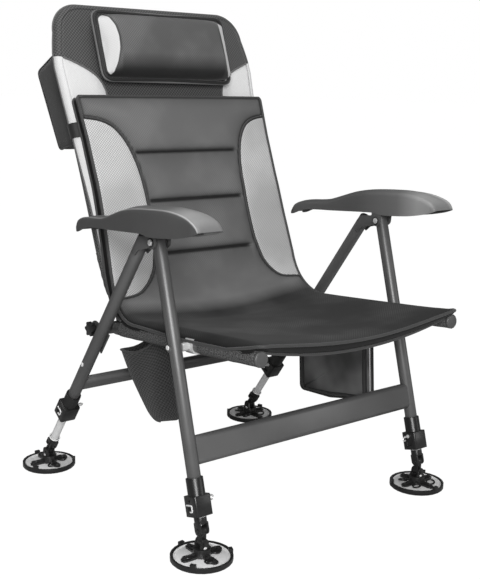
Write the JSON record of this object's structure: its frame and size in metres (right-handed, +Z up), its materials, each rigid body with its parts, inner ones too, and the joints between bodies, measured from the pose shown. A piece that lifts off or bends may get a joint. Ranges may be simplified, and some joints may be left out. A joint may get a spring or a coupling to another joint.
{
  "type": "folding carp fishing chair",
  "caption": "Folding high-back fishing chair with padded sling seat, reclining back, fold-up armrests, telescopic legs and swivelling disc feet.",
  "frame": {"origin": "on the floor, under the middle of the whole chair at rest", "axes": "+X across the chair to the sitter's left as they sit, -Y to the front of the chair, +Z up"},
  "size_m": [0.7098, 0.8241, 1.0234],
  "materials": {
    "powder_coat": "satin powder coat",
    "black_plastic": "moulded, fine grain",
    "arm_plastic": "soft satin",
    "bright_tube": "brushed",
    "bolt_steel": "plated",
    "black_fabric": "woven",
    "pale_mesh": "open mesh"
  },
  "bodies": {
    "seat": {"seat_sling": "black_fabric", "seat_pad": "black_fabric", "mesh_pocket": "black_fabric", "zip_bag": "black_fabric", "seat_tube_left": "powder_coat", "seat_tube_right": "powder_coat", "seat_cap_left": "black_plastic", "seat_cap_right": "black_plastic", "hinge_bracket_left": "powder_coat", "hinge_bracket_right": "powder_coat", "pivot_saddle_left": "bolt_steel", "pivot_saddle_right": "bolt_steel"},
    "rear_frame": {"rear_crossbar": "powder_coat", "rear_leg_left": "powder_coat", "rear_leg_right": "powder_coat", "rear_hinge_plate_left": "powder_coat", "rear_hinge_plate_right": "powder_coat", "arm_fork_left": "powder_coat", "arm_fork_right": "powder_coat", "pivot_bolt_left": "bolt_steel", "pivot_bolt_right": "bolt_steel", "leg_lock_rear_left": "black_plastic", "leg_lock_rear_right": "black_plastic"},
    "front_frame": {"front_crossbar": "powder_coat", "front_leg_left": "powder_coat", "front_leg_right": "powder_coat", "leg_lock_front_left": "black_plastic", "leg_lock_front_right": "black_plastic"},
    "back": {"back_frame": "powder_coat", "back_sling": "pale_mesh", "back_pad": "black_fabric", "head_pillow": "black_fabric", "storage_bag": "black_fabric"},
    "armrest_left": {"armrest_left": "arm_plastic"},
    "star_knob_left": {"star_knob_left": "black_plastic"},
    "inner_tube_front_left": {"inner_tube_front_left": "bright_tube"},
    "knuckle_front_left": {"knuckle_front_left": "black_plastic"},
    "foot_front_left": {"mud_foot_front_left": "black_plastic", "foot_spider_front_left": "black_plastic"},
    "lock_pin_front_left": {"lock_pin_front_left": "bolt_steel"},
    "inner_tube_rear_left": {"inner_tube_rear_left": "bright_tube"},
    "knuckle_rear_left": {"knuckle_rear_left": "black_plastic"},
    "foot_rear_left": {"mud_foot_rear_left": "black_plastic", "foot_spider_rear_left": "black_plastic"},
    "lock_pin_rear_left": {"lock_pin_rear_left": "bolt_steel"},
    "armrest_right": {"armrest_right": "arm_plastic"},
    "star_knob_right": {"star_knob_right": "black_plastic"},
    "inner_tube_front_right": {"inner_tube_front_right": "bright_tube"},
    "knuckle_front_right": {"knuckle_front_right": "black_plastic"},
    "foot_front_right": {"mud_foot_front_right": "black_plastic", "foot_spider_front_right": "black_plastic"},
    "lock_pin_front_right": {"lock_pin_front_right": "bolt_steel"},
    "inner_tube_rear_right": {"inner_tube_rear_right": "bright_tube"},
    "knuckle_rear_right": {"knuckle_rear_right": "black_plastic"},
    "foot_rear_right": {"mud_foot_rear_right": "black_plastic", "foot_spider_rear_right": "black_plastic"},
    "lock_pin_rear_right": {"lock_pin_rear_right": "bolt_steel"}
  },
  "joints": [
    {"name": "leg_fold", "type": "hinge", "parent": "seat", "child": "rear_frame", "pos_m": [0, 0.09797, 0.35623], "axis": [1, 0, 0], "range_deg": [0, 31], "deforming": ["mesh_pocket", "zip_bag"]},
    {"name": "front_leg_close", "type": "hinge", "parent": "rear_frame", "child": "front_frame", "pos_m": [0, -0.15424, 0.573], "axis": [1, 0, 0], "range_deg": [0, 31]},
    {"name": "back_recline", "type": "hinge", "parent": "seat", "child": "back", "pos_m": [0, 0.09797, 0.35623], "axis": [1, 0, 0], "range_deg": [-35, 45]},
    {"name": "armrest_left_swing", "type": "hinge", "parent": "rear_frame", "child": "armrest_left", "pos_m": [-0.296, -0.15424, 0.573], "axis": [1, 0, 0], "range_deg": [-26.4, 0]},
    {"name": "star_knob_left_turn", "type": "hinge", "parent": "rear_frame", "child": "star_knob_left", "pos_m": [-0.285, 0.09797, 0.35623], "axis": [1, 0, 0], "continuous": true},
    {"name": "leg_front_left_extend", "type": "slide", "parent": "front_frame", "child": "inner_tube_front_left", "axis": [0, -0.2689, -0.9632], "range_m": [0, 0.1]},
    {"name": "ankle_front_left_pitch", "type": "hinge", "parent": "inner_tube_front_left", "child": "knuckle_front_left", "pos_m": [-0.296, -0.29804, 0.058], "axis": [1, 0, 0], "range_deg": [-25, 25]},
    {"name": "ankle_front_left_sway", "type": "hinge", "parent": "knuckle_front_left", "child": "foot_front_left", "pos_m": [-0.296, -0.29804, 0.036], "axis": [0, 1, 0], "range_deg": [-25, 25]},
    {"name": "lock_pin_front_left_pull", "type": "slide", "parent": "front_frame", "child": "lock_pin_front_left", "axis": [1, 0, 0], "range_m": [0, 0.007], "stiffness_N_per_m": 400, "springref_m": -0.01},
    {"name": "leg_rear_left_extend", "type": "slide", "parent": "rear_frame", "child": "inner_tube_rear_left", "axis": [0, 0.5841, -0.8117], "range_m": [-0.06, 0.06]},
    {"name": "ankle_rear_left_sway", "type": "hinge", "parent": "inner_tube_rear_left", "child": "knuckle_rear_left", "pos_m": [-0.296, 0.26911, 0.05386], "axis": [0, 0.8117, 0.5841], "range_deg": [-25, 25]},
    {"name": "ankle_rear_left_pitch", "type": "hinge", "parent": "knuckle_rear_left", "child": "foot_rear_left", "pos_m": [-0.296, 0.28196, 0.036], "axis": [1, 0, 0], "range_deg": [-25, 25]},
    {"name": "lock_pin_rear_left_pull", "type": "slide", "parent": "rear_frame", "child": "lock_pin_rear_left", "axis": [1, 0, 0], "range_m": [0, 0.007], "stiffness_N_per_m": 400, "springref_m": -0.01},
    {"name": "armrest_right_swing", "type": "hinge", "parent": "rear_frame", "child": "armrest_right", "pos_m": [0.296, -0.15424, 0.573], "axis": [1, 0, 0], "range_deg": [-26.4, 0]},
    {"name": "star_knob_right_turn", "type": "hinge", "parent": "rear_frame", "child": "star_knob_right", "pos_m": [0.285, 0.09797, 0.35623], "axis": [1, 0, 0], "continuous": true},
    {"name": "leg_front_right_extend", "type": "slide", "parent": "front_frame", "child": "inner_tube_front_right", "axis": [0, -0.2689, -0.9632], "range_m": [0, 0.1]},
    {"name": "ankle_front_right_pitch", "type": "hinge", "parent": "inner_tube_front_right", "child": "knuckle_front_right", "pos_m": [0.296, -0.29804, 0.058], "axis": [1, 0, 0], "range_deg": [-25, 25]},
    {"name": "ankle_front_right_sway", "type": "hinge", "parent": "knuckle_front_right", "child": "foot_front_right", "pos_m": [0.296, -0.29804, 0.036], "axis": [0, 1, 0], "range_deg": [-25, 25]},
    {"name": "lock_pin_front_right_pull", "type": "slide", "parent": "front_frame", "child": "lock_pin_front_right", "axis": [-1, 0, 0], "range_m": [0, 0.007], "stiffness_N_per_m": 400, "springref_m": -0.01},
    {"name": "leg_rear_right_extend", "type": "slide", "parent": "rear_frame", "child": "inner_tube_rear_right", "axis": [0, 0.5841, -0.8117], "range_m": [-0.06, 0.06]},
    {"name": "ankle_rear_right_sway", "type": "hinge", "parent": "inner_tube_rear_right", "child": "knuckle_rear_right", "pos_m": [0.296, 0.26911, 0.05386], "axis": [0, 0.8117, 0.5841], "range_deg": [-25, 25]},
    {"name": "ankle_rear_right_pitch", "type": "hinge", "parent": "knuckle_rear_right", "child": "foot_rear_right", "pos_m": [0.296, 0.28196, 0.036], "axis": [1, 0, 0], "range_deg": [-25, 25]},
    {"name": "lock_pin_rear_right_pull", "type": "slide", "parent": "rear_frame", "child": "lock_pin_rear_right", "axis": [-1, 0, 0], "range_m": [0, 0.007], "stiffness_N_per_m": 400, "springref_m": -0.01}
  ],
  "couplings": [
    {"joint": "front_leg_close", "follows": "leg_fold", "ratio": 1},
    {"joint": "armrest_left_swing", "follows": "leg_fold", "ratio": -0.85},
    {"joint": "armrest_right_swing", "follows": "leg_fold", "ratio": -0.85}
  ]
}
